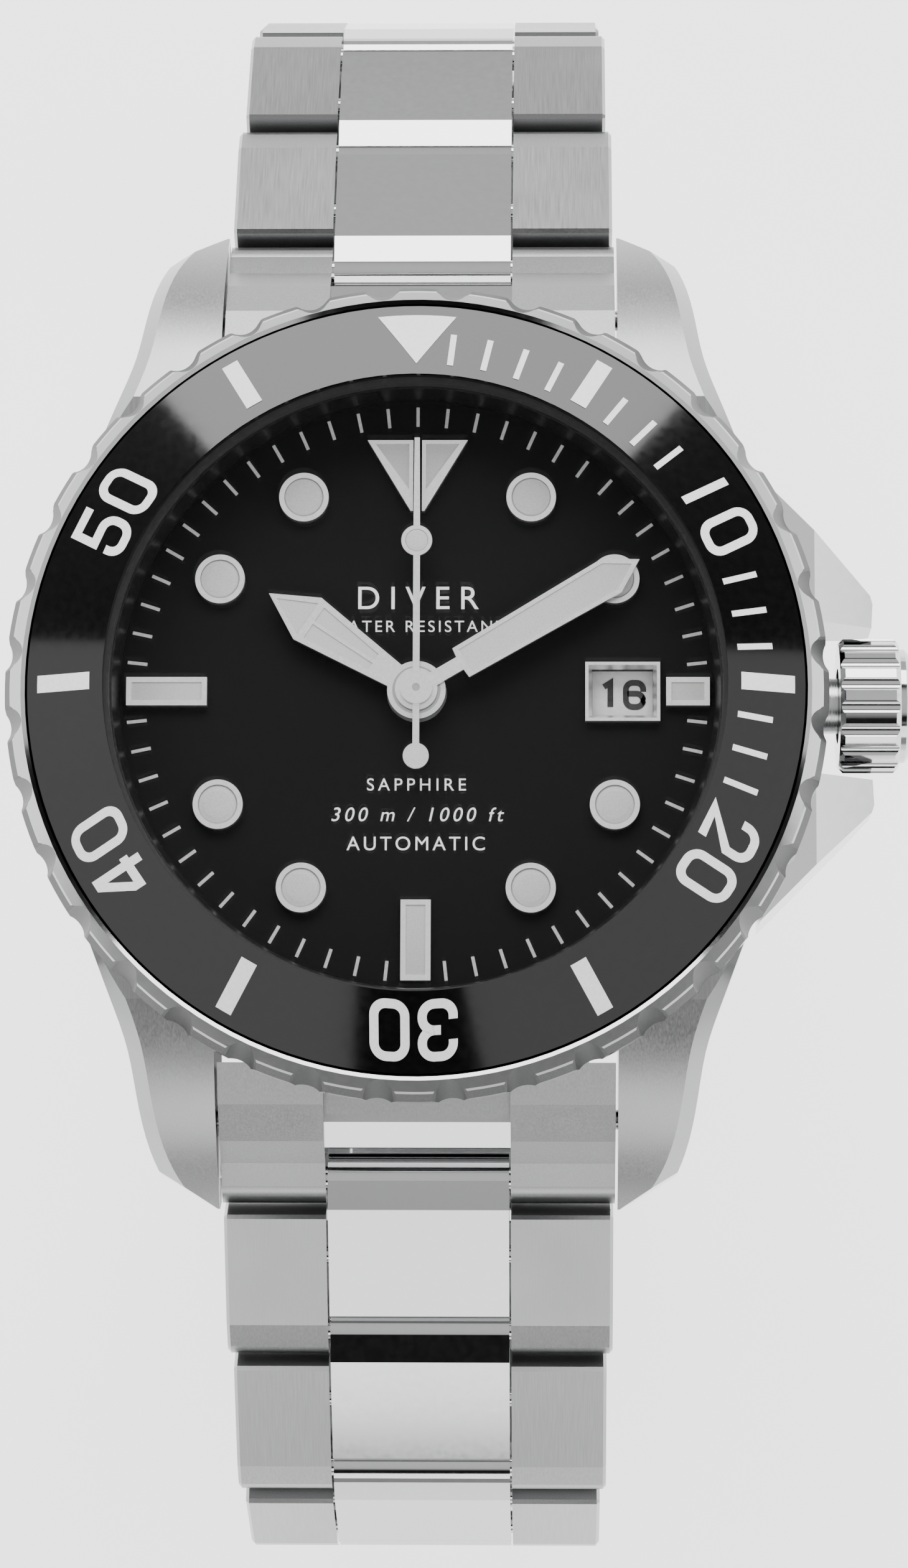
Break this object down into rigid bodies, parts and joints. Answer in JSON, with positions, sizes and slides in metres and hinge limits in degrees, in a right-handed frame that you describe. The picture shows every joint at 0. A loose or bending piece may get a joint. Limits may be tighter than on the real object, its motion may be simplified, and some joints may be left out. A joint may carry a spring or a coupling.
{
  "type": "dive watch",
  "caption": "Round automatic dive watch with a turning scalloped bezel, black dial, date window, guarded crown and a tapering three-row steel bracelet with a folding clasp.",
  "frame": {"origin": "centre of the case back's flat outer face", "axes": "+Z is the way the dial faces, +Y is 12 o'clock, +X is the crown at 3 o'clock"},
  "size_m": [0.045, 0.0836, 0.0462],
  "materials": {
    "brushed_steel": "brushed and polished stainless steel",
    "polished_steel": "mirror-polished stainless steel",
    "black_insert": "glossy black ceramic",
    "crystal": "clear sapphire",
    "black_dial": "matte black lacquer",
    "rubber": "black nitrile",
    "nylon": "natural nylon",
    "plated_brass": "nickel-plated brass",
    "gilt_brass": "gilt brass",
    "spring_steel": "blued spring steel",
    "ruby": "synthetic ruby",
    "white_disc": "white lacquer"
  },
  "bodies": {
    "head": {"case_middle": "brushed_steel", "case_back": "brushed_steel", "case_gaskets": "rubber", "crown_tube": "brushed_steel", "crystal": "crystal", "rehaut": "black_dial", "dial": "black_dial", "hour_markers": "polished_steel", "bezel_click_spring": "spring_steel", "bezel_retaining_ring": "nylon", "movement_ring": "plated_brass", "main_plate": "plated_brass", "barrel_bridge": "plated_brass", "train_bridge": "plated_brass", "balance_cock": "plated_brass", "movement_screws": "brushed_steel", "jewels": "ruby", "hairspring": "spring_steel", "spring_bars": "brushed_steel", "end_link_12": "brushed_steel", "end_link_6": "brushed_steel"},
    "bezel": {"bezel_ring": "polished_steel", "bezel_insert": "black_insert"},
    "crown_slider": {"crown_gasket": "rubber"},
    "crown": {"crown": "polished_steel", "winding_stem": "brushed_steel"},
    "crown_wheel": {"crown_wheel": "brushed_steel"},
    "ratchet": {"ratchet_wheel": "brushed_steel"},
    "barrel": {"mainspring_barrel": "gilt_brass", "mainspring": "spring_steel"},
    "great_wheel": {"great_wheel": "gilt_brass"},
    "third_wheel": {"third_wheel": "gilt_brass"},
    "seconds": {"fourth_wheel": "gilt_brass", "seconds_hand": "polished_steel"},
    "escape_wheel": {"escape_wheel": "brushed_steel"},
    "pallet_fork": {"pallet_fork": "brushed_steel"},
    "balance": {"balance_wheel": "gilt_brass"},
    "minute": {"cannon_pinion": "gilt_brass", "minute_hand": "polished_steel"},
    "minute_wheel": {"minute_wheel": "gilt_brass"},
    "hour": {"hour_wheel": "gilt_brass", "hour_hand": "polished_steel"},
    "date": {"date_disc": "white_disc"},
    "rotor": {"rotor": "plated_brass"},
    "link_12_1": {"link_12_1": "brushed_steel"},
    "link_12_2": {"link_12_2": "brushed_steel"},
    "link_12_3": {"link_12_3": "brushed_steel"},
    "link_12_4": {"link_12_4": "brushed_steel"},
    "link_12_5": {"link_12_5": "brushed_steel"},
    "link_12_6": {"link_12_6": "brushed_steel"},
    "link_6_1": {"link_6_1": "brushed_steel"},
    "link_6_2": {"link_6_2": "brushed_steel"},
    "link_6_3": {"link_6_3": "brushed_steel"},
    "link_6_4": {"link_6_4": "brushed_steel"},
    "link_6_5": {"link_6_5": "brushed_steel"},
    "link_6_6": {"link_6_6": "brushed_steel"},
    "clasp_cover": {"clasp_cover": "brushed_steel"},
    "clasp_outer_blade": {"clasp_outer_blade": "brushed_steel"},
    "clasp_inner_blade": {"clasp_inner_blade": "brushed_steel"},
    "safety_latch": {"safety_latch": "brushed_steel"}
  },
  "joints": [
    {"name": "bezel_turn", "type": "hinge", "parent": "head", "child": "bezel", "pos_m": [0, 0, 0.0095], "axis": [0, 0, 1], "continuous": true},
    {"name": "crown_pull", "type": "slide", "parent": "head", "child": "crown_slider", "axis": [1, 0, 0], "range_m": [0, 0.0015]},
    {"name": "crown_turn", "type": "hinge", "parent": "crown_slider", "child": "crown", "pos_m": [0.0225, 0, 0.0049], "axis": [1, 0, 0], "continuous": true},
    {"name": "crown_wheel_turn", "type": "hinge", "parent": "head", "child": "crown_wheel", "pos_m": [0.0063, 0, 0.00375], "axis": [0, 0, 1], "continuous": true},
    {"name": "ratchet_turn", "type": "hinge", "parent": "head", "child": "ratchet", "pos_m": [0.00424, -0.00606, 0.00375], "axis": [0, 0, 1], "continuous": true},
    {"name": "seconds_turn", "type": "hinge", "parent": "head", "child": "seconds", "pos_m": [0, 0, 0.0055], "axis": [0, 0, -1], "continuous": true},
    {"name": "third_wheel_turn", "type": "hinge", "parent": "head", "child": "third_wheel", "pos_m": [-0.00366, -0.00137, 0.005], "axis": [0, 0, -1], "continuous": true},
    {"name": "great_wheel_turn", "type": "hinge", "parent": "head", "child": "great_wheel", "pos_m": [-0.00159, -0.00474, 0.005], "axis": [0, 0, -1], "continuous": true},
    {"name": "barrel_turn", "type": "hinge", "parent": "head", "child": "barrel", "pos_m": [0.00424, -0.00606, 0.0051], "axis": [0, 0, -1], "continuous": true},
    {"name": "escape_wheel_turn", "type": "hinge", "parent": "head", "child": "escape_wheel", "pos_m": [-0.00067, 0.00381, 0.005], "axis": [0, 0, -1], "continuous": true},
    {"name": "pallet_fork_swing", "type": "hinge", "parent": "head", "child": "pallet_fork", "pos_m": [-0.00117, 0.00665, 0.005], "axis": [0, 0, 1], "range_deg": [-5, 5]},
    {"name": "balance_swing", "type": "hinge", "parent": "head", "child": "balance", "pos_m": [-0.0015, 0.00847, 0.0046], "axis": [0, 0, 1], "range_deg": [-150, 150], "stiffness_Nm_per_rad": 0.00000025},
    {"name": "minute_hand_turn", "type": "hinge", "parent": "head", "child": "minute", "pos_m": [0, 0, 0.008], "axis": [0, 0, -1], "continuous": true},
    {"name": "minute_wheel_turn", "type": "hinge", "parent": "head", "child": "minute_wheel", "pos_m": [0.0018, 0.00312, 0.0078], "axis": [0, 0, -1], "continuous": true},
    {"name": "hour_hand_turn", "type": "hinge", "parent": "head", "child": "hour", "pos_m": [0, 0, 0.0085], "axis": [0, 0, -1], "continuous": true},
    {"name": "date_disc_turn", "type": "hinge", "parent": "head", "child": "date", "pos_m": [0, 0, 0.00815], "axis": [0, 0, -1], "continuous": true},
    {"name": "rotor_turn", "type": "hinge", "parent": "head", "child": "rotor", "pos_m": [0, 0, 0.0032], "axis": [0, 0, 1], "continuous": true},
    {"name": "link_12_1_hinge", "type": "hinge", "parent": "head", "child": "link_12_1", "pos_m": [0, 0.0235, 0.001], "axis": [-1, 0, 0], "range_deg": [-30, 0]},
    {"name": "link_12_2_hinge", "type": "hinge", "parent": "link_12_1", "child": "link_12_2", "pos_m": [0, 0.03086, -0.00325], "axis": [-1, 0, 0], "range_deg": [-7, 0]},
    {"name": "link_12_3_hinge", "type": "hinge", "parent": "link_12_2", "child": "link_12_3", "pos_m": [0, 0.03765, -0.00837], "axis": [-1, 0, 0], "range_deg": [-33, 0]},
    {"name": "link_12_4_hinge", "type": "hinge", "parent": "link_12_3", "child": "link_12_4", "pos_m": [0, 0.04056, -0.01635], "axis": [-1, 0, 0], "range_deg": [-38, 0]},
    {"name": "link_12_5_hinge", "type": "hinge", "parent": "link_12_4", "child": "link_12_5", "pos_m": [0, 0.03793, -0.02444], "axis": [-1, 0, 0], "range_deg": [-37, 0]},
    {"name": "link_12_6_hinge", "type": "hinge", "parent": "link_12_5", "child": "link_12_6", "pos_m": [0, 0.03097, -0.02931], "axis": [-1, 0, 0], "range_deg": [-30, 0]},
    {"name": "link_6_1_hinge", "type": "hinge", "parent": "head", "child": "link_6_1", "pos_m": [0, -0.0235, 0.001], "axis": [1, 0, 0], "range_deg": [-30, 0]},
    {"name": "link_6_2_hinge", "type": "hinge", "parent": "link_6_1", "child": "link_6_2", "pos_m": [0, -0.03086, -0.00325], "axis": [1, 0, 0], "range_deg": [-7, 0]},
    {"name": "link_6_3_hinge", "type": "hinge", "parent": "link_6_2", "child": "link_6_3", "pos_m": [0, -0.03765, -0.00837], "axis": [1, 0, 0], "range_deg": [-33, 0]},
    {"name": "link_6_4_hinge", "type": "hinge", "parent": "link_6_3", "child": "link_6_4", "pos_m": [0, -0.04056, -0.01635], "axis": [1, 0, 0], "range_deg": [-38, 0]},
    {"name": "link_6_5_hinge", "type": "hinge", "parent": "link_6_4", "child": "link_6_5", "pos_m": [0, -0.03793, -0.02444], "axis": [1, 0, 0], "range_deg": [-37, 0]},
    {"name": "link_6_6_hinge", "type": "hinge", "parent": "link_6_5", "child": "link_6_6", "pos_m": [0, -0.03097, -0.02931], "axis": [1, 0, 0], "range_deg": [-30, 0]},
    {"name": "clasp_cover_hinge", "type": "hinge", "parent": "link_12_6", "child": "clasp_cover", "pos_m": [0, 0.0225, -0.03005], "axis": [-1, 0, 0], "range_deg": [-5, 0]},
    {"name": "clasp_blade_swing", "type": "hinge", "parent": "clasp_cover", "child": "clasp_outer_blade", "pos_m": [0, -0.018, -0.0312], "axis": [1, 0, 0], "range_deg": [0, 20]},
    {"name": "clasp_fold_swing", "type": "hinge", "parent": "clasp_outer_blade", "child": "clasp_inner_blade", "pos_m": [0, 0.017, -0.0305], "axis": [1, 0, 0], "range_deg": [-5, 0]},
    {"name": "safety_latch_swing", "type": "hinge", "parent": "clasp_cover", "child": "safety_latch", "pos_m": [0, -0.013, -0.03275], "axis": [1, 0, 0], "range_deg": [0, 100]}
  ],
  "couplings": [
    {"joint": "third_wheel_turn", "follows": "seconds_turn", "ratio": -0.13333},
    {"joint": "great_wheel_turn", "follows": "seconds_turn", "ratio": 0.016667},
    {"joint": "barrel_turn", "follows": "seconds_turn", "ratio": -0.0025},
    {"joint": "escape_wheel_turn", "follows": "seconds_turn", "ratio": -12},
    {"joint": "minute_wheel_turn", "follows": "minute_hand_turn", "ratio": -0.33333},
    {"joint": "hour_hand_turn", "follows": "minute_hand_turn", "ratio": 0.083333},
    {"joint": "crown_wheel_turn", "follows": "crown_turn", "ratio": 0.40909},
    {"joint": "ratchet_turn", "follows": "crown_turn", "ratio": -0.21951},
    {"joint": "clasp_fold_swing", "follows": "clasp_blade_swing", "ratio": -0.25}
  ]
}
